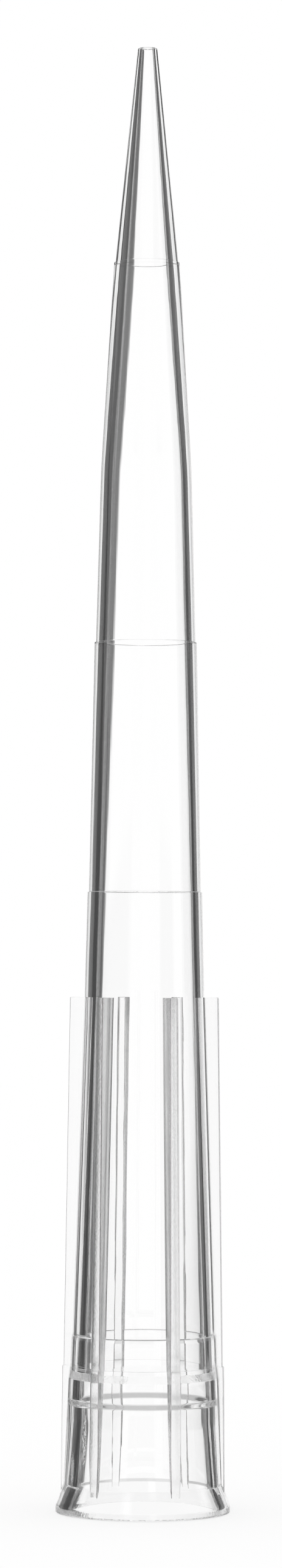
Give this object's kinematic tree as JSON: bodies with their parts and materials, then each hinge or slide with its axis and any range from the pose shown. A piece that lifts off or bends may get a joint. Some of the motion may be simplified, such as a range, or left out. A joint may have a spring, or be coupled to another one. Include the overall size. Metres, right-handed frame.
{
  "type": "pipette tip",
  "caption": "Clear tapered pipette tip with graduation rings, a ribbed collar and a flared socket that pushes onto a pipette's nose cone.",
  "frame": {"origin": "centre of the rim's flat annular face, on the axis", "axes": "+Z along the axis from the rim to the orifice, -Y is the front, +X is to the right seen from the front"},
  "size_m": [0.0072, 0.0072, 0.06],
  "materials": {
    "clear_pp": "clear natural polypropylene, polished"
  },
  "bodies": {
    "root": {"tip_body": "clear_pp"}
  },
  "joints": []
}
